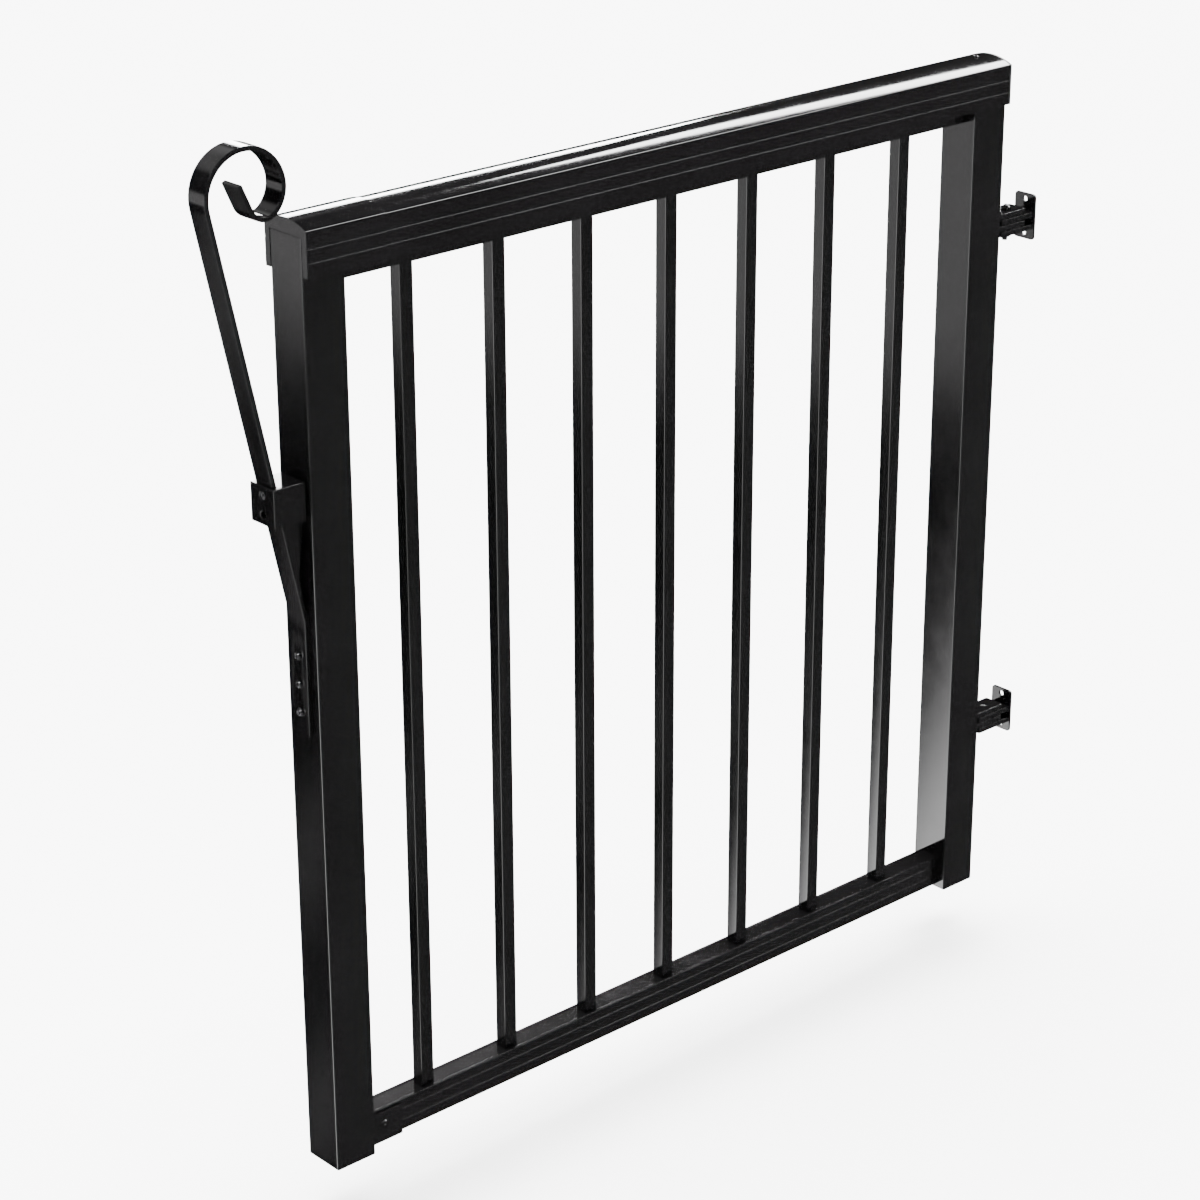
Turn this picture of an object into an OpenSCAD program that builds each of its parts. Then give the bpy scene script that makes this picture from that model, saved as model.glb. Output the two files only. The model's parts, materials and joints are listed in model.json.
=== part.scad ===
// Pedestrian garden gate in powder-coated tube: two posts, seven pickets between a
// bottom rail and a bread-loaf cap rail, two stacked-leaf hinges and a spring-bar latch.
// The origin is the middle of the lower hinge's wall face. The gate reaches towards -X,
// its front is -Y and +Z is up.

/* [Gate] */
// Width across the two posts
gate_w = 987; // [700:1:1500]
// Height of the posts
post_h = 1012; // [760:1:1800]
// Side of the square post tube
post = 50; // [44:0.5:60]
// Wall of the post tube
post_wall = 2; // [1.5:0.1:3]
// Radius of the post tube's outer corners
post_corner = 2; // [1:0.1:3]

/* [Pickets] */
// Number of pickets
picket_count = 7; // [3:1:9]
// Side of the square picket tube
picket = 16; // [10:0.5:20]
// Wall of the picket tube
picket_wall = 1.2; // [0.8:0.1:2]
// Radius of the picket tube's outer corners
picket_corner = 1.2; // [0.9:0.1:1.8]
// Open gap between the latch post and the first picket
latch_side_gap = 79; // [60:1:110]
// Open gap between the last picket and the hinge post
hinge_side_gap = 88; // [60:1:110]

/* [Bottom rail] */
// Height of the bottom rail's underside above the post feet
rail_z = 5.6; // [4:0.1:80]
// Height of the bottom rail's section
rail_h = 36.8; // [34:0.1:60]
// Wall of the bottom rail
rail_wall = 2; // [1.5:0.1:2.5]
// Clear space between a picket and the rail's inner side
rail_side_room = 3.7; // [3:0.1:8]
// How far the rail's top lips stand in past its walls
rail_lip = 1; // [0.6:0.1:1.5]
// How far the insert lies below the rail's top edge
insert_recess = 0.5; // [0.2:0.1:1]
// Wall of the cup that holds the rail's latch end
cup_wall = 2; // [1.5:0.1:3]
// Length of the cup along the rail
cup_l = 44; // [34:1:60]
// Height of the cup's open top above the rail's underside
cup_h = 33.4; // [30:0.1:36]
// Length of the cleat inside the rail's hinge end
cleat_l = 32; // [24:1:50]

/* [Cap rail] */
// How far the cap rail stands out past the posts on each face
cap_overhang = 6.5; // [5.5:0.5:15]
// Height of the cap rail's straight sides
cap_side_h = 44.5; // [42:0.5:60]
// Rise of the crown above the sides
cap_rise = 7.3; // [4:0.1:14]
// Wall of the cap rail
cap_wall = 2; // [1.5:0.1:2.5]
// How far the cap comes down over the posts
cap_drop = 37; // [34:0.5:40]
// Thickness of the plates that close the cap's ends
cap_end = 3; // [2:0.5:4]
// Length of the sleeve on the cap's latch end
sleeve_l = 95; // [70:1:140]
// Wall of the sleeve
sleeve_wall = 1; // [0.8:0.1:1.5]
// Width of the grooves along both rails
groove_w = 1; // [0.6:0.1:1.4]
// Depth of the grooves along both rails
groove_d = 0.6; // [0.3:0.1:0.8]
// How far the picket channel hangs below the cap
channel_drop = 17; // [12:0.5:24]

/* [Hinges] */
// Height of the lower hinge above the post feet
lower_hinge_z = 200; // [120:1:300]
// Depth of the upper hinge below the post tops
upper_hinge_drop = 186; // [120:1:300]
// Distance from the hinge post's face to the pin
pin_offset = 37.4; // [30:0.1:56]
// Distance from the pin to the wall plate
wall_offset = 32.5; // [26:0.1:46]
// Diameter of the hinge pins
pin_d = 6; // [5:0.1:8]
// Thickness of each hinge leaf
leaf_t = 6; // [5:0.1:8]
// Gap between neighbouring leaves, which holds a washer
leaf_gap = 1.25; // [0.8:0.05:2]
// Width of the hinge leaves
leaf_w = 26; // [22:0.5:30]
// How far a leaf reaches past its pin
leaf_end = 20.5; // [8:0.1:23]
// Radius of the corners of the leaves' free ends
leaf_r = 2; // [0.5:0.1:6]
// Width of the hinge plates
plate_w = 30; // [26:0.5:40]
// Height of the hinge plates
plate_h = 54; // [50:0.5:70]
// Thickness of the hinge plates
plate_t = 3; // [2.5:0.1:5]
// Distance between the two fixing holes of a plate
plate_holes = 40.3; // [38:0.1:46]
// Diameter of the fixing holes
plate_hole_d = 6.5; // [6.4:0.1:8]
// Diameter of the screws that fix the gate half of each hinge
gate_screw_d = 5; // [4:0.1:6]

/* [Latch] */
// Width of the spring bar
bar_w = 26; // [20:0.5:32]
// Thickness of the spring bar
bar_t = 5; // [4:0.1:6]
// Length of the bar's upright foot on the post
strap_l = 123; // [100:1:160]
// Depth of the bar's bend below the post tops
bend_drop = 390; // [340:1:440]
// Outward lean of the bar above its bend
lean = 12.16; // [11:0.02:13]
// Length of the straight leaning run
stem_l = 438.7; // [400:0.1:470]
// Radius of the scroll's first half turn
scroll_r1 = 44.2; // [38:0.1:50]
// Radius of the scroll's middle arc
scroll_r2 = 32.6; // [28:0.1:36]
// Radius of the scroll's inner arc
scroll_r3 = 17.7; // [16:0.1:20]
// Length of the scroll's straight tip
tip_l = 28.4; // [20:0.1:32]
// Depth of the catch block's middle below the post tops
block_drop = 262; // [250:1:280]
// Size of the catch block along X, Y and Z
block_size = [38, 38, 40];
// Gap between the catch block and the post
block_gap = 2; // [1.6:0.1:4]
// Thickness of the gusset plates
gusset_t = 4; // [3:0.1:5]

/* [Fits] */
// Side clearance between tubes and what they fit into
slip = 0.2; // [0.1:0.05:0.4]
// Radial clearance between a hinge pin and a turning leaf
pin_run = 0.05; // [0.02:0.01:0.09]
// Radial clearance between a hinge pin and a fixed leaf or washer
pin_seat = 0.02; // [0.01:0.01:0.03]
// Radial clearance between a screw and the hole it is driven into
pilot = 0.05; // [0.02:0.01:0.1]

/* [Hidden] */

round_fn = 48;
mid_y = post / 2;
hinge_post_x = gate_w - post;
pin_x = gate_w + pin_offset;
wall_plate_x = pin_x + wall_offset;
wall_x = wall_plate_x + plate_t;
upper_hinge_z = post_h - upper_hinge_drop;

picket_room = picket + 2 * slip;
picket_span = gate_w - 2 * post - latch_side_gap - hinge_side_gap - picket;
picket_pitch = picket_span / (picket_count - 1);
first_picket_x = post + latch_side_gap;

rail_w = picket + 2 * (rail_side_room + rail_wall);
rail_floor = rail_z + rail_wall;
rail_top = rail_z + rail_h;
rail_x = post + cup_wall;
rail_grooves = [rail_h / 3, rail_h * 0.7];
insert_t = 1.6;

foot_recess = 0.5;
foot_plug_h = 9.5;

cap_w = post + 2 * cap_overhang;
cap_z = post_h - cap_drop;
cap_y = mid_y - cap_w / 2;
cap_crest = cap_z + cap_side_h + cap_rise;
crown_r = (pow(cap_w / 2, 2) + pow(cap_rise, 2)) / (2 * cap_rise);
cap_grooves = [cap_side_h * 0.31, cap_side_h * 0.62];
cap_slot = post + slip;
sleeve_grow = sleeve_wall + slip / 2;
channel_wall = 1;
channel_flange_z = cap_z + cap_wall;
channel_flange_w = cap_w - 2 * (cap_wall + slip + 0.5);

leaf_pitch = leaf_t + leaf_gap;
stack_h = 4 * leaf_t + 3 * leaf_gap;
washer_d = 2 * pin_d;
washer_t = leaf_gap - 0.1;

bend_z = post_h - bend_drop;
flex_gap = 0.4;
block_z = post_h - block_drop - block_size.z / 2;
block_x = -block_gap - block_size.x;
bar_slope = tan(lean);
strap_screw_z = [23, 53.5, 84];
set_screw_z = [0.25, 0.75] * block_size.z;
set_screw_d = 8;
set_screw_l = 3;

arc_step = 6;
scroll_turn = [180, 60, 108];
bar_half = bar_t / 2 / cos(lean);
bar_foot_x = -bar_half - slip / 2;
bar_foot_z = bend_z + flex_gap / 2;
arc_1 = run([bar_foot_x, bend_z, 90 + lean], stem_l);
arc_2 = arc_end(arc_1, scroll_r1, scroll_turn[0]);
arc_3 = arc_end(arc_2, scroll_r2, scroll_turn[1]);
tip = arc_end(arc_3, scroll_r3, scroll_turn[2]);
bar_line = concat([arc_1],
    arc_points(arc_1, scroll_r1, scroll_turn[0]),
    arc_points(arc_2, scroll_r2, scroll_turn[1]),
    arc_points(arc_3, scroll_r3, scroll_turn[2]),
    [run(tip, tip_l)]);

coat = [0.11, 0.11, 0.12];
plastic = [0.16, 0.16, 0.17];
zinc = [0.66, 0.67, 0.69];

// Corner of a rounded outline: a quarter circle about c that starts at angle a
function quarter(c, r, a) = [for (i = [0:4]) c + r * [cos(a + 22.5 * i), sin(a + 22.5 * i)]];

// Outline of a w by d rectangle with corners of radius r, its near corner at the origin
function rounded(w, d, r) = concat(
    quarter([w - r, d - r], r, 0), quarter([r, d - r], r, 90),
    quarter([r, r], r, 180), quarter([w - r, r], r, 270));

// Moves a piece from the gate's front lower corner to the part's own frame
module place() {
    translate([-wall_x, -mid_y, -lower_hinge_z]) children();
}

// Square tube with rounded corners, standing on z = 0
module tube(side, wall, corner, h) {
    difference() {
        linear_extrude(h) polygon(rounded(side, side, corner));
        translate([wall, wall, -1])
            linear_extrude(h + 2)
                polygon(rounded(side - 2 * wall, side - 2 * wall, corner / 2));
    }
}

// Round bar along +X from p
module bar_x(p, d, l) {
    translate(p) rotate([0, 90, 0]) cylinder(d = d, h = l, $fn = round_fn);
}

// Round bar along +Z from p
module bar_z(p, d, l) {
    translate(p) cylinder(d = d, h = l, $fn = round_fn);
}

// Pan-head screw: head above z = 0, shank below, cross recess in the head
module screw(head_d, head_h, shank_d, shank_l) {
    difference() {
        union() {
            cylinder(d = head_d, h = head_h * 0.45, $fn = round_fn);
            translate([0, 0, head_h * 0.45])
                cylinder(d1 = head_d, d2 = head_d * 0.7, h = head_h * 0.55, $fn = round_fn);
            translate([0, 0, -shank_l]) cylinder(d = shank_d, h = shank_l + 0.5, $fn = round_fn);
        }
        for (a = [0, 90])
            rotate(a)
                translate([-head_d * 0.26, -head_d * 0.05, head_h * 0.5])
                    cube([head_d * 0.52, head_d * 0.1, head_h]);
    }
}

// Solid bread-loaf section along +X, grown outward by g
module loaf(x, l, g) {
    intersection() {
        translate([x, cap_y - g, cap_z - g])
            cube([l, cap_w + 2 * g, cap_side_h + cap_rise + 2 * g]);
        translate([x - 1, mid_y, cap_crest - crown_r])
            rotate([0, 90, 0])
                cylinder(r = crown_r + g, h = l + 2, $fn = 180);
    }
}

// Grooves along both faces of a rail from x to x + l, with faces at y0 and y1
module grooves(x, l, y0, y1, heights) {
    for (z = heights, y = [y0 - 1, y1 - groove_d])
        translate([x, y, z - groove_w / 2])
            cube([l, groove_d + 1, groove_w]);
}

// Clearance prism for a post that passes up into the cap
module post_notch(x, l) {
    translate([x, mid_y - cap_slot / 2, cap_z - 10])
        cube([l, cap_slot, cap_drop + 10 + slip]);
}

module latch_post() {
    color(coat) place() difference() {
        tube(post, post_wall, post_corner, post_h);
        for (z = strap_screw_z)
            bar_x([-1, mid_y, bend_z - strap_l + z], 4 + 2 * pilot, post_wall + 2);
        for (z = cup_screw_z())
            bar_x([post - post_wall - 1, mid_y, z], 4 + 2 * pilot, post_wall + 2);
    }
}

module hinge_post() {
    color(coat) place() difference() {
        translate([hinge_post_x, 0, 0]) tube(post, post_wall, post_corner, post_h);
        for (z = [lower_hinge_z, upper_hinge_z], s = [-1, 1])
            bar_x([gate_w - post_wall - 1, mid_y, z + s * plate_holes / 2],
                gate_screw_d + 2 * pilot, post_wall + 2);
        for (z = cup_screw_z())
            bar_x([hinge_post_x - 1, mid_y, z], 4 + 2 * pilot, post_wall + 2);
    }
}

// Heights of the screws that hold the rail's two ends to the posts
function cup_screw_z() = [rail_z + 9, rail_z + 25];

// Block that fits the inside of the post at x, from z up
module plug_block(x, z, h) {
    side = post - 2 * (post_wall + slip);
    translate([x + (post - side) / 2, (post - side) / 2, z])
        linear_extrude(h) polygon(rounded(side, side, post_corner / 2));
}

// Plug in a post's top: a spigot in the tube and a head that backs the crown
module top_plug(x) {
    head_l = post - 2 * (cap_end + slip);
    head_w = post - 2 * slip;
    difference() {
        union() {
            plug_block(x, post_h - 22, 22 + slip / 2);
            intersection() {
                translate([x + (post - head_l) / 2, mid_y - head_w / 2, post_h])
                    cube([head_l, head_w, cap_crest - post_h]);
                translate([x, mid_y, cap_crest - crown_r])
                    rotate([0, 90, 0])
                        cylinder(r = crown_r - cap_wall - slip, h = post, $fn = 180);
            }
        }
        bar_z([x + post / 2, mid_y, post_h - 23], 4 + 2 * pilot, 60);
    }
}

module post_top_plugs() {
    color(plastic) place() for (x = [0, hinge_post_x]) top_plug(x);
}

// Cup plug just inside each post's foot
module post_foot_plugs() {
    wall = 2;
    side = post - 2 * (post_wall + slip + wall);
    color(plastic) place() for (x = [0, hinge_post_x]) difference() {
        plug_block(x, foot_recess, foot_plug_h);
        translate([x + (post - side) / 2, (post - side) / 2, foot_recess + wall])
            cube([side, side, foot_plug_h]);
    }
}

module cap_rail() {
    x = cap_end;
    l = gate_w - 2 * cap_end;
    color(coat) place() difference() {
        loaf(x, l, 0);
        intersection() {
            loaf(x - 1, l + 2, -cap_wall);
            translate([x - 1, cap_y, cap_z]) cube([l + 2, cap_w, 2 * cap_side_h]);
        }
        translate([x - 1, mid_y - cap_slot / 2, cap_z - 1])
            cube([l + 2, cap_slot, cap_wall + 2]);
        grooves(x - 1, l + 2, cap_y, cap_y + cap_w, [for (g = cap_grooves) cap_z + g]);
        bar_z([hinge_post_x + post / 2, mid_y, cap_crest - 10], 4 + 4 * pilot, 20);
    }
}

// Sheet sleeve with a closed end, which covers the cap's latch end
module cap_end_sleeve() {
    color(coat) place() difference() {
        loaf(0, sleeve_l, sleeve_grow);
        loaf(cap_end - 0.1, sleeve_l, slip / 2);
        translate([-1, mid_y - cap_slot / 2, cap_z - 5])
            cube([sleeve_l + 2, cap_slot, 5.5]);
        post_notch(-1, cap_end + 2);
        grooves(-1, sleeve_l + 2, cap_y - sleeve_grow, cap_y + cap_w + sleeve_grow,
            [for (g = cap_grooves) cap_z + g]);
    }
}

// Plate that closes the cap's hinge end, with a tongue on each side of the post
module cap_end_plug() {
    tongue_w = (cap_w - cap_slot) / 2 - cap_wall - slip;
    tongue_h = cap_side_h - 2 * (cap_wall + slip);
    color(plastic) place() union() {
        difference() {
            loaf(gate_w - cap_end, cap_end, 0);
            post_notch(gate_w - cap_end - 1, cap_end + 2);
        }
        for (y = [cap_y + cap_wall + slip, cap_y + cap_w - cap_wall - slip - tongue_w])
            translate([gate_w - cap_end - 10, y, cap_z + cap_wall + slip])
                cube([10.5, tongue_w, tongue_h]);
    }
}

module cap_screw() {
    color(zinc) place()
        translate([hinge_post_x + post / 2, mid_y, cap_crest]) screw(7, 1.8, 4, 25);
}

// Hat-shaped channel that holds the picket tops and lies on the cap's lips
module picket_channel() {
    x = post + slip + 0.1;
    l = gate_w - 2 * x;
    w = picket_room + 2 * channel_wall;
    z = cap_z - channel_drop;
    color(coat) place() difference() {
        union() {
            translate([x, mid_y - channel_flange_w / 2, channel_flange_z])
                cube([l, channel_flange_w, cap_wall]);
            translate([x, mid_y - w / 2, z]) cube([l, w, channel_flange_z - z + 0.5]);
        }
        translate([x - 1, mid_y - picket_room / 2, z - 1])
            cube([l + 2, picket_room, channel_flange_z - z + 1]);
    }
}

// Channel section rail, open at its top between two lips
module bottom_rail() {
    l = hinge_post_x - rail_x;
    y = mid_y - rail_w / 2;
    color(coat) place() difference() {
        translate([rail_x, y, rail_z]) cube([l, rail_w, rail_h]);
        translate([rail_x - 1, y + rail_wall, rail_floor])
            cube([l + 2, rail_w - 2 * rail_wall, rail_h - 2 * rail_wall]);
        translate([rail_x - 1, y + rail_wall + rail_lip, rail_top - rail_wall - 1])
            cube([l + 2, rail_w - 2 * (rail_wall + rail_lip), rail_wall + 2]);
        grooves(rail_x - 1, l + 2, y, y + rail_w, [for (g = rail_grooves) rail_z + g]);
        for (s = [-1, 1])
            translate([cup_screw_x(), mid_y + s * (rail_w / 2 - rail_wall - 1), cup_side_z()])
                rotate([-90 * s, 0, 0])
                    cylinder(d = 3 + 2 * pilot, h = rail_wall + 3, $fn = round_fn);
        bar_z([cleat_screw_x(), mid_y, rail_z - 1], 3 + 2 * pilot, rail_wall + 2);
    }
}

// Place of the screws through the cup's sides and through the cleat's foot
function cup_screw_x() = post + cup_l * 0.465;
function cup_side_z() = rail_z + cup_h * 0.62;
function cleat_screw_x() = hinge_post_x - cleat_l * 0.6;

// Stepped strip that snaps under the rail's lips, with a square hole for each picket
module bottom_rail_insert() {
    l = hinge_post_x - rail_x;
    top = rail_top - insert_recess;
    base_w = rail_w - 2 * (rail_wall + slip / 2);
    neck_w = rail_w - 2 * (rail_wall + rail_lip + slip);
    lip_z = rail_top - rail_wall;
    color(coat) place() difference() {
        union() {
            translate([rail_x, mid_y - base_w / 2, lip_z - insert_t])
                cube([l, base_w, insert_t - slip / 2]);
            translate([rail_x, mid_y - neck_w / 2, lip_z - insert_t])
                cube([l, neck_w, top - lip_z + insert_t]);
        }
        for (i = [0:picket_count - 1])
            translate([picket_x(i) - slip, mid_y - picket_room / 2, lip_z - 5])
                cube([picket_room, picket_room, 10]);
    }
}

// Folded cup that carries the rail's latch end on the post
module bottom_rail_cup() {
    w = rail_w + slip + 2 * cup_wall;
    z = rail_z - slip / 2 - cup_wall;
    h = rail_z + cup_h - z;
    color(coat) place() difference() {
        translate([post, mid_y - w / 2, z]) cube([cup_l, w, h]);
        translate([post + cup_wall, mid_y - w / 2 + cup_wall, z + cup_wall])
            cube([cup_l, w - 2 * cup_wall, h]);
        for (zs = cup_screw_z())
            bar_x([post - 1, mid_y, zs], 4 + 4 * pilot, cup_wall + 2);
        for (s = [-1, 1])
            translate([cup_screw_x(), mid_y + s * (w / 2 - cup_wall - 1), cup_side_z()])
                rotate([-90 * s, 0, 0])
                    cylinder(d = 3 + 4 * pilot, h = cup_wall + 2, $fn = round_fn);
    }
}

// Angle cleat inside the rail's hinge end
module bottom_rail_cleat() {
    w = rail_w - 2 * (rail_wall + 1);
    color(zinc) place() difference() {
        union() {
            translate([hinge_post_x - 2, mid_y - w / 2, rail_floor])
                cube([2, w, rail_h - 2 * rail_wall - insert_t - 1]);
            translate([hinge_post_x - cleat_l, mid_y - w / 2, rail_floor]) cube([cleat_l, w, 2]);
        }
        for (z = cup_screw_z())
            bar_x([hinge_post_x - 3, mid_y, z], 4 + 4 * pilot, 4);
        bar_z([cleat_screw_x(), mid_y, rail_floor - 1], 3 + 2 * pilot, 4);
    }
}

// Screws through the cup and the cleat into the posts and the rail
module rail_screws() {
    cup_face = rail_w / 2 + slip / 2 + cup_wall;
    color(zinc) place() {
        for (z = cup_screw_z()) {
            translate([rail_x, mid_y, z]) rotate([0, 90, 0]) screw(6, 2, 4, 8);
            translate([hinge_post_x - 2, mid_y, z]) rotate([0, -90, 0]) screw(6, 2, 4, 8);
        }
        for (s = [-1, 1])
            translate([cup_screw_x(), mid_y + s * cup_face, cup_side_z()])
                rotate([-90 * s, 0, 0]) screw(6, 2, 3, cup_wall + rail_wall + 2);
        translate([cleat_screw_x(), mid_y, rail_z])
            rotate([180, 0, 0]) screw(6, 1.4, 3, rail_wall + 4);
    }
}

// Near face of picket i, counted from the latch post
function picket_x(i) = first_picket_x + i * picket_pitch;

module one_picket(i) {
    h = channel_flange_z - 0.5 - rail_floor;
    color(coat) place()
        translate([picket_x(i), mid_y - picket / 2, rail_floor])
            tube(picket, picket_wall, picket_corner, h);
}

module picket_1() { one_picket(0); }
module picket_2() { one_picket(1); }
module picket_3() { one_picket(2); }
module picket_4() { one_picket(3); }
module picket_5() { one_picket(4); }
module picket_6() { one_picket(5); }
module picket_7() { one_picket(6); }

// Height of the underside of hinge leaf k, counted from the top, about height z
function leaf_z(z, k) = z + stack_h / 2 - leaf_t - k * leaf_pitch;

// Hinge leaf that runs from x0 to its rounded free end at x1
module leaf(x0, x1, z) {
    l = abs(x1 - x0);
    turn = x1 > x0 ? 0 : 180;
    translate([x0, mid_y, z]) rotate(turn) linear_extrude(leaf_t)
        polygon(concat([[0, -leaf_w / 2]],
            quarter([l - leaf_r, leaf_r - leaf_w / 2], leaf_r, 270),
            quarter([l - leaf_r, leaf_w / 2 - leaf_r], leaf_r, 0), [[0, leaf_w / 2]]));
}

// Upright fixing plate with rounded corners, its low-X face at x
module hinge_plate(x, z) {
    translate([x, mid_y - plate_w / 2, z - plate_h / 2])
        rotate([90, 0, 90])
            linear_extrude(plate_t)
                polygon(rounded(plate_w, plate_h, 4));
}

// Fixing holes of diameter d in a hinge plate that starts at x
module plate_hole_pair(x, z, d) {
    for (s = [-1, 1])
        bar_x([x - 1, mid_y, z + s * plate_holes / 2], d, plate_t + 2);
}

// Moving half of a hinge: leaves 1 and 3 of the stack
module gate_bracket(z) {
    color(coat) place() difference() {
        union() {
            hinge_plate(gate_w, z);
            for (k = [0, 2]) leaf(gate_w + plate_t - 0.5, pin_x + leaf_end, leaf_z(z, k));
        }
        plate_hole_pair(gate_w, z, gate_screw_d + 4 * pilot);
        bar_z([pin_x, mid_y, z - stack_h], pin_d + 2 * pin_run, 2 * stack_h);
    }
}

// Fixed half of a hinge: leaves 2 and 4 of the stack
module wall_bracket(z) {
    color(coat) place() difference() {
        union() {
            hinge_plate(wall_plate_x, z);
            for (k = [1, 3]) leaf(wall_plate_x + 0.5, pin_x - leaf_end, leaf_z(z, k));
        }
        plate_hole_pair(wall_plate_x, z, plate_hole_d);
        bar_z([pin_x, mid_y, z - stack_h], pin_d + 2 * pin_seat, 2 * stack_h);
    }
}

module upper_gate_bracket() { gate_bracket(upper_hinge_z); }
module lower_gate_bracket() { gate_bracket(lower_hinge_z); }
module upper_wall_bracket() { wall_bracket(upper_hinge_z); }
module lower_wall_bracket() { wall_bracket(lower_hinge_z); }

module gate_bracket_screws() {
    color(zinc) place()
        for (z = [lower_hinge_z, upper_hinge_z], s = [-1, 1])
            translate([gate_w + plate_t, mid_y, z + s * plate_holes / 2])
                rotate([0, 90, 0]) screw(11, 3, gate_screw_d, plate_t + post_wall + 8);
}

// Domed bolt that is the upper hinge's pin
module upper_hinge_bolt() {
    head_d = pin_d * 2.1;
    head_h = pin_d;
    top = upper_hinge_z + stack_h / 2 + 0.1;
    shank = stack_h + 0.1 + nut_h() + 4.2;
    color(zinc) place() union() {
        bar_z([pin_x, mid_y, top - shank], pin_d, shank + 1);
        translate([pin_x, mid_y, top]) rotate_extrude($fn = round_fn) dome(head_d / 2, head_h);
    }
}

// Half outline of a domed head of radius r and height h
module dome(r, h) {
    polygon(concat([[0, 0], [r, 0]],
        [for (a = [0:9:90]) [r * cos(a), h * 0.3 + h * 0.7 * sin(a)]]));
}

function nut_h() = pin_d * 0.73;

module upper_hinge_nut() {
    color(zinc) place() difference() {
        translate([pin_x, mid_y, upper_hinge_z - stack_h / 2 - nut_h()])
            cylinder(d = pin_d * 2.03, h = nut_h(), $fn = 6);
        bar_z([pin_x, mid_y, upper_hinge_z - stack_h], pin_d + 2 * pin_seat, stack_h);
    }
}

// Plain pin with a centre dimple in its flush top
module lower_hinge_pin() {
    l = stack_h + 4;
    color(zinc) place() difference() {
        bar_z([pin_x, mid_y, lower_hinge_z + stack_h / 2 - l], pin_d, l);
        translate([pin_x, mid_y, lower_hinge_z + stack_h / 2 - 0.8])
            cylinder(d1 = 0.6, d2 = 2.2, h = 0.9, $fn = round_fn);
    }
}

// Washers in the three gaps of a hinge's stack
module hinge_washers(z) {
    color(zinc) place() for (k = [0:2]) difference() {
        bar_z([pin_x, mid_y, leaf_z(z, k) - (leaf_gap + washer_t) / 2], washer_d, washer_t);
        bar_z([pin_x, mid_y, leaf_z(z, k) - 2 * leaf_gap], pin_d + 2 * pin_seat, 4 * leaf_gap);
    }
}

module upper_hinge_washers() { hinge_washers(upper_hinge_z); }
module lower_hinge_washers() { hinge_washers(lower_hinge_z); }

// Upright foot of the spring bar, up to the bend
module latch_strap() {
    color(coat) place() difference() {
        translate([-bar_t, mid_y - bar_w / 2, bend_z - strap_l])
            cube([bar_t, bar_w, strap_l - flex_gap / 2]);
        for (z = strap_screw_z)
            bar_x([-bar_t - 1, mid_y, bend_z - strap_l + z], 4 + 4 * pilot, bar_t + 2);
    }
}

module latch_strap_screws() {
    color(zinc) place() for (z = strap_screw_z)
        translate([-bar_t, mid_y, bend_z - strap_l + z])
            rotate([0, -90, 0]) screw(9, 3, 4, bar_t + post_wall + 6);
}

// Place on the latch bar's centre line: [x, z, heading in degrees]
function run(p, l) = [p.x + l * cos(p.z), p.y + l * sin(p.z), p.z];
function arc_end(p, r, turn) = [
    p.x + r * (sin(p.z) - sin(p.z - turn)),
    p.y - r * (cos(p.z) - cos(p.z - turn)), p.z - turn];

// Places along an arc of radius r that turns clockwise from p
function arc_points(p, r, turn) =
    [for (i = [1:turn / arc_step]) arc_end(p, r, i * arc_step)];

// Point at distance d to the left of the centre line at p
function beside(p, d) = [p.x - d * sin(p.z), p.y + d * cos(p.z)];

module latch_arm() {
    count = len(bar_line);
    color(coat) place()
        translate([0, mid_y + bar_w / 2, 0]) rotate([90, 0, 0]) linear_extrude(bar_w)
            polygon(concat([[bar_x_at(bar_foot_z) - bar_half, bar_foot_z]],
                [for (p = bar_line) beside(p, bar_t / 2)],
                [for (i = [count - 1:-1:0]) beside(bar_line[i], -bar_t / 2)],
                [[bar_x_at(bar_foot_z) + bar_half, bar_foot_z]]));
}

// X of the leaning bar's centre line at height z
function bar_x_at(z) = bar_foot_x - (z - bend_z) * bar_slope;

module latch_block() {
    slot = bar_half + slip;
    depth = bar_w + 2 * slip;
    lo = block_z - 1;
    hi = block_z + block_size.z + 1;
    color(coat) place() difference() {
        translate([block_x, mid_y - block_size.y / 2, block_z]) cube(block_size);
        translate([0, mid_y + depth / 2, 0]) rotate([90, 0, 0]) linear_extrude(depth)
            polygon([[bar_x_at(lo) - slot, lo], [bar_x_at(lo) + slot, lo],
                [bar_x_at(hi) + slot, hi], [bar_x_at(hi) - slot, hi]]);
        for (z = set_screw_z)
            bar_x([block_x - 1, mid_y, block_z + z],
                set_screw_d + 2 * pilot, bar_x_at(block_z + z) - block_x);
    }
}

// Webs under the block that tie it to the bar
module latch_gussets() {
    top = block_z;
    low = block_z - block_size.x * 1.63;
    color(coat) place() for (s = [-1, 1])
        translate([0, mid_y + s * (bar_w - gusset_t) / 2 + gusset_t / 2, 0])
            rotate([90, 0, 0]) linear_extrude(gusset_t)
                polygon([[bar_x_at(low) + bar_half, low], [-block_gap, top],
                    [bar_x_at(top) + bar_half, top]]);
}

// Grub screws that clamp the bar in the block
module latch_set_screws() {
    color(zinc) place() for (z = set_screw_z) {
        x = bar_x_at(block_z + z) - bar_half - 1 - set_screw_l;
        difference() {
            bar_x([x, mid_y, block_z + z], set_screw_d, set_screw_l);
            translate([x - 1, mid_y, block_z + z]) rotate([0, 90, 0])
                cylinder(d = set_screw_d * 0.56, h = set_screw_l * 0.6 + 1, $fn = 6);
        }
    }
}

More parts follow.
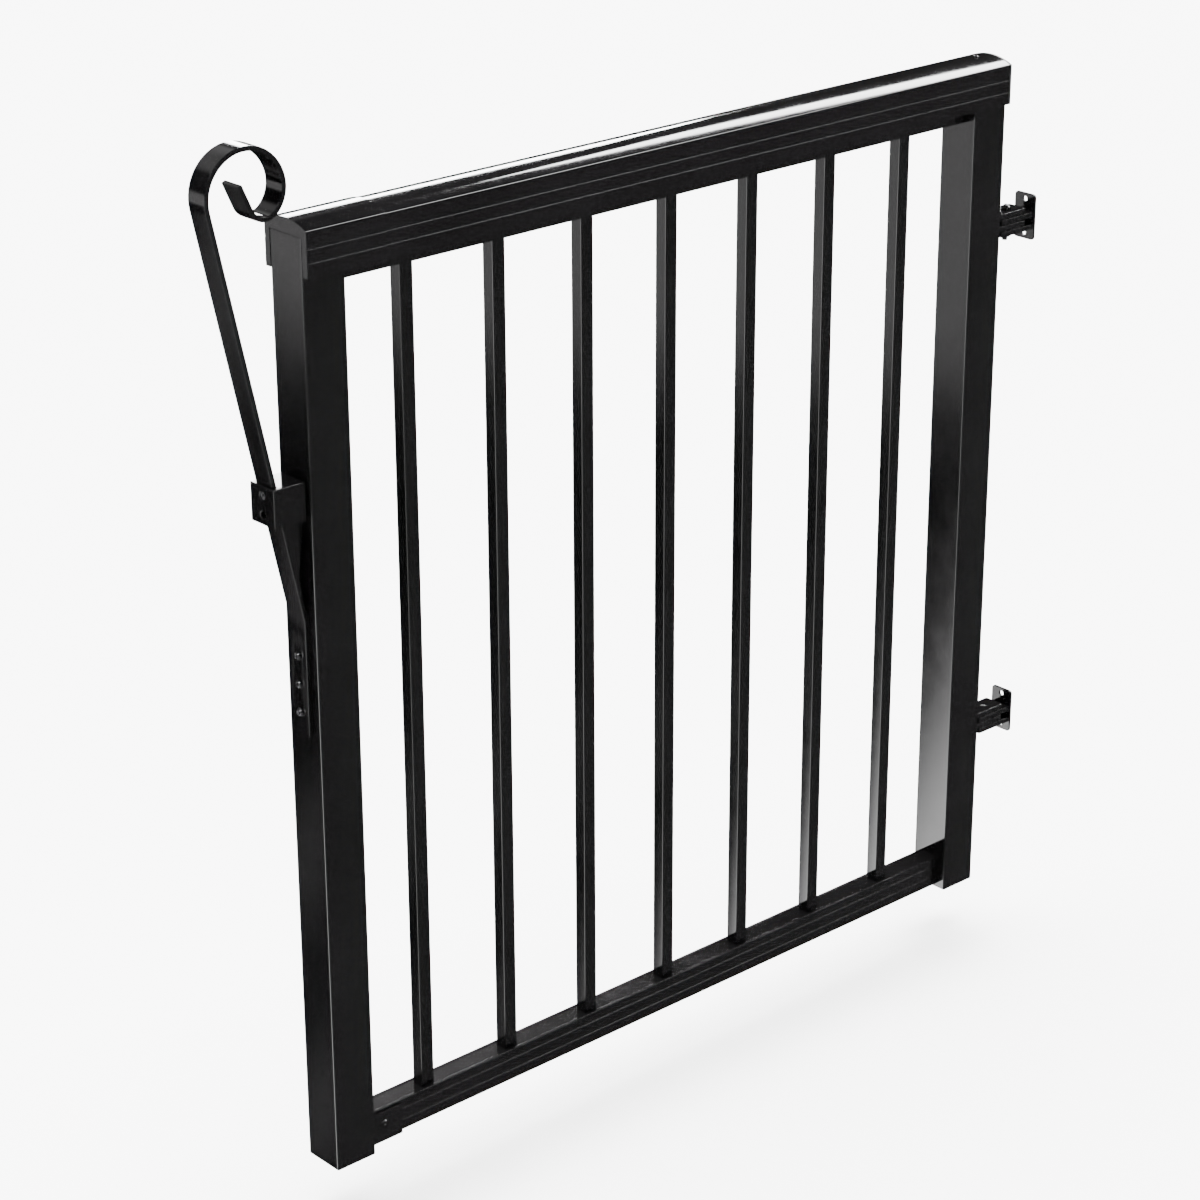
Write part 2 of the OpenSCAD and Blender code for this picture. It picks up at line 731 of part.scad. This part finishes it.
latch_post();
hinge_post();
post_top_plugs();
post_foot_plugs();
cap_rail();
cap_end_sleeve();
cap_end_plug();
cap_screw();
picket_channel();
bottom_rail();
bottom_rail_insert();
bottom_rail_cup();
bottom_rail_cleat();
rail_screws();
picket_1();
picket_2();
picket_3();
picket_4();
picket_5();
picket_6();
picket_7();
upper_gate_bracket();
lower_gate_bracket();
gate_bracket_screws();
upper_wall_bracket();
lower_wall_bracket();
upper_hinge_bolt();
upper_hinge_nut();
lower_hinge_pin();
upper_hinge_washers();
lower_hinge_washers();
latch_strap();
latch_strap_screws();
latch_arm();
latch_block();
latch_gussets();
latch_set_screws();
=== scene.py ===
"""Looks of the garden gate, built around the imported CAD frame. Metres, +Z up, front is -Y."""
import json
import math

import bmesh
import bpy
from mathutils import Matrix, Vector


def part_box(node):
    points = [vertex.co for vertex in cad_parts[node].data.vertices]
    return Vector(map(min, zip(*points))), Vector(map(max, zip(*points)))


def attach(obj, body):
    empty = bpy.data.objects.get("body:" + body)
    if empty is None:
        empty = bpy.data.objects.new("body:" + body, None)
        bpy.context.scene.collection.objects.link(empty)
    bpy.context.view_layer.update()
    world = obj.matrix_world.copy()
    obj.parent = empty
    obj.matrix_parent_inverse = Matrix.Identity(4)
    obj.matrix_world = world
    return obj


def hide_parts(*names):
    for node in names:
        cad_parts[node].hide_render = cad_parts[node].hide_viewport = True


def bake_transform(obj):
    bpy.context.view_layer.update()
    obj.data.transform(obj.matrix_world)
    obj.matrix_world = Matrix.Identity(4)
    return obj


MM = 0.001

# Camera: its direction, how far it stands from the point it looks at, and its lens in mm
AZIMUTH = math.radians(41.98)
ELEVATION = math.radians(22.56)
ROLL = math.radians(-0.21)
DISTANCE = 3.61
AIM_X = -0.5788
AIM_Y = 0.0963
AIM_ABOVE_FOOT = 0.4762
LENS = 97.6
SENSOR = 36
CLIP_END = 200

# Base colours, the dust on top faces, and the depth of the fine relief in metres; FINE_PEEL is
# the coats' fine relief as a share of their orange peel
COAT_TINT = (0.0018, 0.0018, 0.0019)
SCREW_TINT = (0.16, 0.16, 0.165)
ZINC_TINT = (0.5, 0.5, 0.51)
PLUG_TINT = (0.006, 0.006, 0.0065)
DUST_TINT = (0.32, 0.30, 0.27, 1)
MOST_DUST = 0.005
FINE_PEEL = 0.12
SCRATCH_DEPTH = 0.00002
GRAIN_DEPTH = 0.00003

# Floor and the lamps round the gate: name, offset from the gate's middle, size, power, and
# whether the lamp only shows in the gloss
FLOOR_DROP = 60 * MM
FLOOR_TINT = (0.9, 0.9, 0.9)
FLOOR_ROUGHNESS = 0.9
FLOOR_X = -0.5
FLOOR_HALF = 30
SUN_OFFSET = (0.8, 1.6, 5.0)
SUN_STRENGTH = 33
SUN_SPREAD = math.radians(80)
LAMPS = (
    ("fill", (-2.5, -3.5, 1.2), (3.0, 2.0), 60, False),
    ("back_box", (5.64, 7.76, 2.84), (2.4, 2.3), 700, True),
    ("end_box", (7.1, 3.3, 6.2), (3.9, 1.2), 600, True),
    ("edge_box", (5.6, -3.5, 6.2), (4.0, 4.0), 800, True),
    ("side_box", (-7.0, -1.5, 6.0), (2.0, 2.0), 250, True),
)

# Glow of the surroundings. Behind the gate it's laid out by slopes of the line of sight: fall is
# the drop and along the run to the latch side, each per metre of depth. Edges are soft steps,
# from where the glow is nothing to where it's full.
LEAST_DEPTH = 0.05
BEHIND_Y = (0.0, 0.3)
BEHIND_X = (0.0, -0.3)
BAND_GLOW = 1.1
BAND_SLANT = -0.29
BAND_EDGE = (0.212, 0.152)
BAND_GAIN = 0.85
BAND_BASE = 0.38
LOW_GLOW = 0.25
LOW_EDGES = ((0.58, 0.62), (0.68, 0.63))
LOWER_EDGES = ((0.70, 0.75), (0.80, 0.76))
POOL_GLOW = 9.0
POOL_SLANT = 0.5
POOL_EDGE = (1.19, 1.365)
POOL_END = (0.80, 1.0)
BELOW_Z = (0.02, -0.08)
FRONT_GLOW = 0.17
FRONT_Y = (0.0, -0.3)
CORNER_GLOW = 0.25
CORNER_X = (0.2, -0.4)
HIGH_GLOW = 0.7
HIGH_EDGES = ((0.42, 0.52), (0.68, 0.58))
HIGH_END = (-0.98, -0.72)
HIGH_Y = (0.2, 0.4)
SKY_GLOW = 0.01

# Meshes: points closer than SAME_POINT and faces flatter than SAME_PLANE become one. Edges are
# rounded where their faces meet at more than SHARP; up to SHOULDER they can have a radius of
# their own. After that, edges above CRISP are shaded as sharp.
SAME_POINT = 0.004 * MM
SAME_PLANE = math.radians(0.6)
SHARP = math.radians(28)
SHOULDER = math.radians(75)
CRISP = math.radians(36)
ROUND_STEPS = 3

# Radius of the rounded edges, in mm, by how a node's name starts; the first that fits counts
EDGES = {"latch_block": 0.7, "latch_gussets": 0.5, "latch_strap_screws": 0.15,
         "latch_set": 0.15, "rail_screws": 0.1, "cap_screw": 0.12, "gate_bracket_screws": 0.2,
         "upper": 0.35, "lower": 0.35, "post_top": 0.3}
DEFAULT_EDGE = 0.22
CAP_SHOULDER = 1.0 * MM
CAP_NODES = ("cap_rail", "cap_end_sleeve")

# The latch's spring bar: its CAD nodes, its edge, how near its bend points are drawn onto the
# bend, and how near they lie after that
BAR_NODES = ("latch_strap", "latch_arm")
BAR_EDGE = 0.5 * MM
BEND_CATCH = 0.5 * MM
ON_BEND = 0.01 * MM

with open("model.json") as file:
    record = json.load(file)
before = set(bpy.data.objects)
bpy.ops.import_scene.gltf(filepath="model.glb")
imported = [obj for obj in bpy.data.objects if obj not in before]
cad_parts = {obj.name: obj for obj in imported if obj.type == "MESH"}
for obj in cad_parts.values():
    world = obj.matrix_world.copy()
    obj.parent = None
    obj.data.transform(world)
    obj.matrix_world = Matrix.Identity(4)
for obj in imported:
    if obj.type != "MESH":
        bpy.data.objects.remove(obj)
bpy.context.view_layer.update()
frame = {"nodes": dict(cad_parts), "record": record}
gate_low, gate_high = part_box("latch_post")[0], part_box("hinge_post")[1]


# ---------------------------------------------------------------- camera

def add_camera():
    """Looks down on the gate's front and latch side through a long lens."""
    level = math.cos(ELEVATION)
    forward = Vector((math.sin(AZIMUTH) * level, math.cos(AZIMUTH) * level, -math.sin(ELEVATION)))
    side = Vector((math.cos(AZIMUTH), -math.sin(AZIMUTH), 0))
    up = side.cross(forward)
    right = math.cos(ROLL) * side + math.sin(ROLL) * up
    up = right.cross(forward)
    aim = Vector((AIM_X, AIM_Y, gate_low.z + AIM_ABOVE_FOOT))
    data = bpy.data.cameras.new("camera")
    data.lens = LENS
    data.sensor_width = SENSOR
    data.clip_end = CLIP_END
    camera = bpy.data.objects.new("camera", data)
    turn = Matrix((right, up, -forward)).transposed().to_4x4()
    camera.matrix_world = Matrix.Translation(aim - DISTANCE * forward) @ turn
    bpy.context.scene.collection.objects.link(camera)
    bpy.context.scene.camera = camera


# ---------------------------------------------------------------- materials

def new_material(name):
    """A material, its node tree and its shader."""
    material = bpy.data.materials.new(name)
    material.use_nodes = True
    tree = material.node_tree
    return material, tree, tree.nodes["Principled BSDF"]


def node(tree, kind, **values):
    """Adds a node; values set its inputs by name, or its own settings."""
    made = tree.nodes.new(kind)
    for name, value in values.items():
        label = name.replace("_", " ").title()
        if label in made.inputs:
            made.inputs[label].default_value = value
        else:
            setattr(made, name, value)
    return made


def noise(tree, scale, detail, roughness):
    """Noise in the object's own space, scale in features per metre."""
    place = node(tree, "ShaderNodeTexCoord")
    made = node(tree, "ShaderNodeTexNoise", scale=scale, detail=detail, roughness=roughness)
    tree.links.new(place.outputs["Object"], made.inputs["Vector"])
    return made


def ramp(tree, source, low, high, at=(0.35, 0.65)):
    """Maps a factor to a range of greys or colours."""
    made = node(tree, "ShaderNodeValToRGB")
    for stop, position, value in zip(made.color_ramp.elements, at, (low, high)):
        stop.position = position
        stop.color = (*value, 1) if hasattr(value, "__len__") else (value, value, value, 1)
    tree.links.new(source, made.inputs["Fac"])
    return made


def add_bump(tree, shader, height, distance, below=None):
    """Relief of the given depth, on top of the relief below it."""
    made = node(tree, "ShaderNodeBump", strength=1.0, distance=distance)
    tree.links.new(height, made.inputs["Height"])
    if below:
        tree.links.new(below.outputs["Normal"], made.inputs["Normal"])
    tree.links.new(made.outputs["Normal"], shader.inputs["Normal"])
    return made


def powder_coat(name, tint, gloss, peel):
    """Gloss powder coat: orange peel, soft gloss variation and a little dust on top faces."""
    material, tree, shader = new_material(name)
    link = tree.links.new
    cloud = noise(tree, scale=9, detail=4, roughness=0.6)
    shade = ramp(tree, cloud.outputs["Fac"], [0.75 * c for c in tint], [1.2 * c for c in tint])
    up = node(tree, "ShaderNodeNewGeometry")
    split = node(tree, "ShaderNodeSeparateXYZ")
    link(up.outputs["Normal"], split.inputs["Vector"])
    specks = noise(tree, scale=600, detail=3, roughness=0.7)
    dust = node(tree, "ShaderNodeMath", operation="MULTIPLY", use_clamp=True)
    faces_up = ramp(tree, split.outputs["Z"], 0, MOST_DUST, at=(0.6, 1.0))
    grains = ramp(tree, specks.outputs["Fac"], 0, 1, at=(0.45, 0.75))
    link(faces_up.outputs["Color"], dust.inputs[0])
    link(grains.outputs["Color"], dust.inputs[1])
    colour = node(tree, "ShaderNodeMix", data_type="RGBA")
    link(dust.outputs["Value"], colour.inputs["Factor"])
    link(shade.outputs["Color"], colour.inputs["A"])
    colour.inputs["B"].default_value = DUST_TINT
    link(colour.outputs["Result"], shader.inputs["Base Color"])
    spread = noise(tree, scale=35, detail=5, roughness=0.65)
    rough = ramp(tree, spread.outputs["Fac"], gloss - 0.01, gloss + 0.02)
    link(rough.outputs["Color"], shader.inputs["Roughness"])
    wave = noise(tree, scale=550, detail=2, roughness=0.5)
    grain = noise(tree, scale=1600, detail=1, roughness=0.5)
    coarse = add_bump(tree, shader, wave.outputs["Fac"], peel)
    add_bump(tree, shader, grain.outputs["Fac"], peel * FINE_PEEL, below=coarse)
    shader.inputs["IOR"].default_value = 1.5
    shader.inputs["Specular IOR Level"].default_value = 0.5
    return material


def plated_steel(name, tint, gloss):
    """Metal with fine scratches and a mottled plated finish."""
    material, tree, shader = new_material(name)
    link = tree.links.new
    mottle = noise(tree, scale=220, detail=5, roughness=0.6)
    shade = ramp(tree, mottle.outputs["Fac"], [0.7 * c for c in tint], tint)
    link(shade.outputs["Color"], shader.inputs["Base Color"])
    rough = ramp(tree, mottle.outputs["Fac"], gloss, gloss + 0.15)
    link(rough.outputs["Color"], shader.inputs["Roughness"])
    scratches = noise(tree, scale=2400, detail=2, roughness=0.6)
    add_bump(tree, shader, scratches.outputs["Fac"], SCRATCH_DEPTH)
    shader.inputs["Metallic"].default_value = 1
    return material


def moulded_plastic(name, tint):
    """Black nylon with a fine moulded grain."""
    material, tree, shader = new_material(name)
    link = tree.links.new
    cloud = noise(tree, scale=40, detail=3, roughness=0.5)
    shade = ramp(tree, cloud.outputs["Fac"], [0.8 * c for c in tint], [1.3 * c for c in tint])
    link(shade.outputs["Color"], shader.inputs["Base Color"])
    rough = ramp(tree, cloud.outputs["Fac"], 0.3, 0.42)
    link(rough.outputs["Color"], shader.inputs["Roughness"])
    grain = noise(tree, scale=2200, detail=2, roughness=0.5)
    add_bump(tree, shader, grain.outputs["Fac"], GRAIN_DEPTH)
    return material


# ---------------------------------------------------------------- stage

def plain(name, colour, roughness):
    """One even colour, for the floor."""
    material, _, shader = new_material(name)
    shader.inputs["Base Color"].default_value = (*colour, 1)
    shader.inputs["Roughness"].default_value = roughness
    return material


def add_plane(name, centre, u, v, material):
    """Flat rectangle spanned by the half vectors u and v."""
    mesh = bpy.data.meshes.new(name)
    corners = [centre - u - v, centre + u - v, centre + u + v, centre - u + v]
    mesh.from_pydata(corners, [], [(0, 1, 2, 3)])
    made = bpy.data.objects.new(name, mesh)
    made.data.materials.append(material)
    bpy.context.scene.collection.objects.link(made)
    return made


def add_area(name, offset, size, power, mirrored):
    """Soft box aimed at the gate's middle; a mirrored one only shows in the gloss."""
    middle = (gate_low + gate_high) / 2
    data = bpy.data.lights.new(name, "AREA")
    data.shape = "RECTANGLE"
    data.size, data.size_y = size
    data.energy = power
    made = bpy.data.objects.new(name, data)
    made.location = middle + Vector(offset)
    made.rotation_euler = (-Vector(offset)).to_track_quat("-Z", "Y").to_euler()
    made.visible_camera = False
    made.visible_glossy = mirrored
    made.visible_diffuse = not mirrored
    bpy.context.scene.collection.objects.link(made)


def add_sun(name, offset, strength):
    """Even, very soft light from far away that doesn't show in the gloss."""
    data = bpy.data.lights.new(name, "SUN")
    data.energy = strength
    data.angle = SUN_SPREAD
    made = bpy.data.objects.new(name, data)
    made.rotation_euler = (-Vector(offset)).to_track_quat("-Z", "Y").to_euler()
    made.visible_glossy = False
    bpy.context.scene.collection.objects.link(made)


def maths(tree, operation, a, b=0.0, c=0.0):
    """Math node on numbers or other nodes' outputs."""
    made = node(tree, "ShaderNodeMath", operation=operation)
    for socket, value in zip(made.inputs, (a, b, c)):
        if hasattr(value, "is_linked"):
            tree.links.new(value, socket)
        else:
            socket.default_value = value
    return made.outputs["Value"]


def fade(tree, value, start, end):
    """Smooth step from 0 at start to 1 at end."""
    made = node(tree, "ShaderNodeMapRange", interpolation_type="SMOOTHSTEP",
                from_min=start, from_max=end)
    tree.links.new(value, made.inputs["Value"])
    return made.outputs["Result"]


def patch(tree, value, edges):
    """Glow between two soft edges."""
    start, end = edges
    return maths(tree, "MULTIPLY", fade(tree, value, *start), fade(tree, value, *end))


def glow_behind(tree, x, y, fall, along):
    """Glow low down behind the gate on its latch side, for the faces that look that way.

    A band that fades with height, two faint bands below it after a dark gap, and a bright pool
    further along."""
    behind = maths(tree, "MULTIPLY", fade(tree, y, *BEHIND_Y), fade(tree, x, *BEHIND_X))
    slant = maths(tree, "MULTIPLY_ADD", along, BAND_SLANT, fall)
    rise = maths(tree, "MULTIPLY_ADD", along, BAND_GAIN * BAND_GLOW, BAND_BASE * BAND_GLOW)
    band = maths(tree, "MULTIPLY", fade(tree, slant, *BAND_EDGE), rise)
    low = maths(tree, "ADD", patch(tree, fall, LOW_EDGES), patch(tree, fall, LOWER_EDGES))
    low = maths(tree, "MULTIPLY", low, LOW_GLOW)
    reach = maths(tree, "MULTIPLY_ADD", along, POOL_SLANT, fall)
    pool = maths(tree, "MULTIPLY", fade(tree, reach, *POOL_EDGE), fade(tree, along, *POOL_END))
    glow = maths(tree, "ADD", low, maths(tree, "MULTIPLY", pool, POOL_GLOW))
    return maths(tree, "MULTIPLY", maths(tree, "ADD", glow, band), behind)


def glow_in_front(tree, x, y):
    """Faint glow before the gate that grows toward the latch side."""
    front = maths(tree, "MULTIPLY_ADD", fade(tree, x, *CORNER_X), CORNER_GLOW, FRONT_GLOW)
    return maths(tree, "MULTIPLY", fade(tree, y, *FRONT_Y), front)


def glow_above(tree, y, z, along):
    """Patch high behind the gate, for the faces that look up at it."""
    high = patch(tree, z, HIGH_EDGES)
    high = maths(tree, "MULTIPLY", high, fade(tree, along, *HIGH_END))
    return maths(tree, "MULTIPLY", high, fade(tree, y, *HIGH_Y))


def add_world():
    """Dark studio with its glow below the horizon, apart from a patch high behind the gate."""
    world = bpy.data.worlds.new("studio")
    world.use_nodes = True
    bpy.context.scene.world = world
    tree = world.node_tree
    place = tree.nodes.new("ShaderNodeTexCoord")
    split = tree.nodes.new("ShaderNodeSeparateXYZ")
    tree.links.new(place.outputs["Generated"], split.inputs["Vector"])
    x, y, z = (split.outputs[name] for name in "XYZ")
    depth = maths(tree, "MAXIMUM", y, LEAST_DEPTH)
    fall = maths(tree, "DIVIDE", maths(tree, "MULTIPLY", z, -1), depth)
    along = maths(tree, "DIVIDE", maths(tree, "MULTIPLY", x, -1), depth)
    light = maths(tree, "ADD", glow_behind(tree, x, y, fall, along), glow_in_front(tree, x, y))
    light = maths(tree, "MULTIPLY", light, fade(tree, z, *BELOW_Z))
    light = maths(tree, "MULTIPLY_ADD", glow_above(tree, y, z, along), HIGH_GLOW, light)
    light = maths(tree, "ADD", light, SKY_GLOW)
    tree.nodes["Background"].inputs["Color"].default_value = (1, 1, 1, 1)
    tree.links.new(light, tree.nodes["Background"].inputs["Strength"])


def add_stage():
    """Floor, surroundings and lamps."""
    ground = gate_low.z - FLOOR_DROP
    paint = plain("floor_paint", FLOOR_TINT, FLOOR_ROUGHNESS)
    floor = add_plane("floor", Vector((FLOOR_X, 0, ground)), Vector((FLOOR_HALF, 0, 0)),
                      Vector((0, FLOOR_HALF, 0)), paint)
    floor.visible_glossy = False
    add_world()
    add_sun("ceiling", SUN_OFFSET, SUN_STRENGTH)
    for lamp in LAMPS:
        add_area(*lamp)


# ---------------------------------------------------------------- pieces

def clean_copy(*names):
    """The CAD nodes' shapes in one mesh, with each flat face whole and no doubled points."""
    shape = bmesh.new()
    for name in names:
        shape.from_mesh(frame["nodes"][name].data)
    bmesh.ops.remove_doubles(shape, verts=shape.verts, dist=SAME_POINT)
    bmesh.ops.dissolve_limit(shape, angle_limit=SAME_PLANE, verts=shape.verts, edges=shape.edges)
    return shape


def round_edges(shape, low, high, radius):
    """Rounds the edges whose faces meet at an angle between low and high."""
    found = [e for e in shape.edges if e.is_manifold and low < e.calc_face_angle(0) < high]
    bmesh.ops.bevel(shape, geom=found, offset=radius, offset_type="OFFSET",
                    segments=ROUND_STEPS, profile=0.5, affect="EDGES", clamp_overlap=False)


def soften(shape, radius, shoulder=0):
    """Rounds the sharp edges and sets crisp shading where an edge stays sharp.

    With a shoulder, edges up to the shoulder's angle get that radius instead."""
    if shoulder:
        round_edges(shape, SHARP, SHOULDER, shoulder)
        shape.normal_update()
    round_edges(shape, SHOULDER if shoulder else SHARP, math.pi, radius)
    bmesh.ops.remove_doubles(shape, verts=shape.verts, dist=SAME_POINT)
    for face in shape.faces:
        face.smooth = True
    for edge in shape.edges:
        edge.smooth = not edge.is_manifold or edge.calc_face_angle(0) < CRISP
    return shape


def add_piece(name, shape, material, stands_for):
    """Makes a piece of the mesh, in the material's slot, in place of the CAD nodes."""
    mesh = bpy.data.meshes.new(name)
    shape.to_mesh(mesh)
    shape.free()
    mesh.materials.append(MATERIALS[material])
    made = bpy.data.objects.new(name, mesh)
    bpy.context.scene.collection.objects.link(made)
    weight = made.modifiers.new("flat_faces", "WEIGHTED_NORMAL")
    weight.keep_sharp = True
    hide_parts(*stands_for)
    return made


def add_latch_bar():
    """The latch's spring bar in one length, from its foot through the bend to the scroll."""
    foot_low, foot_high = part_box("latch_strap")
    bend = (foot_high.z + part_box("latch_arm")[0].z) / 2
    shape = clean_copy(*BAR_NODES)
    middle = (foot_low.x + foot_high.x) / 2
    at_bend = [v for v in shape.verts if abs(v.co.z - bend) < BEND_CATCH]
    for point in at_bend:
        point.co.z = bend
        point.co.x = foot_low.x if point.co.x < middle else foot_high.x
    cut = [f for f in shape.faces if all(abs(v.co.z - bend) < ON_BEND for v in f.verts)]
    bmesh.ops.delete(shape, geom=cut, context="FACES_ONLY")
    bmesh.ops.remove_doubles(shape, verts=shape.verts, dist=ON_BEND)
    made = add_piece("latch_bar", soften(shape, BAR_EDGE), "coated_steel", BAR_NODES)
    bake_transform(made)


MATERIALS = {
    "coated_aluminium": powder_coat("coated_aluminium", COAT_TINT, gloss=0.08, peel=0.0000007),
    "coated_steel": powder_coat("coated_steel", COAT_TINT, gloss=0.1, peel=0.0000009),
    "screw_steel": plated_steel("screw_steel", SCREW_TINT, gloss=0.16),
    "zinc_plated_steel": plated_steel("zinc_plated_steel", ZINC_TINT, gloss=0.25),
    "plug_plastic": moulded_plastic("plug_plastic", PLUG_TINT),
}
SLOTS = {part["node"]: part["material_slot"] for part in frame["record"]["subparts"]}


def add_pieces():
    """The spring bar in one length, then a piece for every other CAD node."""
    add_latch_bar()
    for body, members in frame["record"]["behaviour"]["bodies"].items():
        for name in members:
            if name in BAR_NODES:
                continue
            radius = next((r for key, r in EDGES.items() if name.startswith(key)), DEFAULT_EDGE)
            shoulder = CAP_SHOULDER if name in CAP_NODES else 0
            shape = soften(clean_copy(name), radius * MM, shoulder)
            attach(add_piece(name + "_look", shape, SLOTS[name], (name,)), body)


add_camera()
add_stage()
add_pieces()
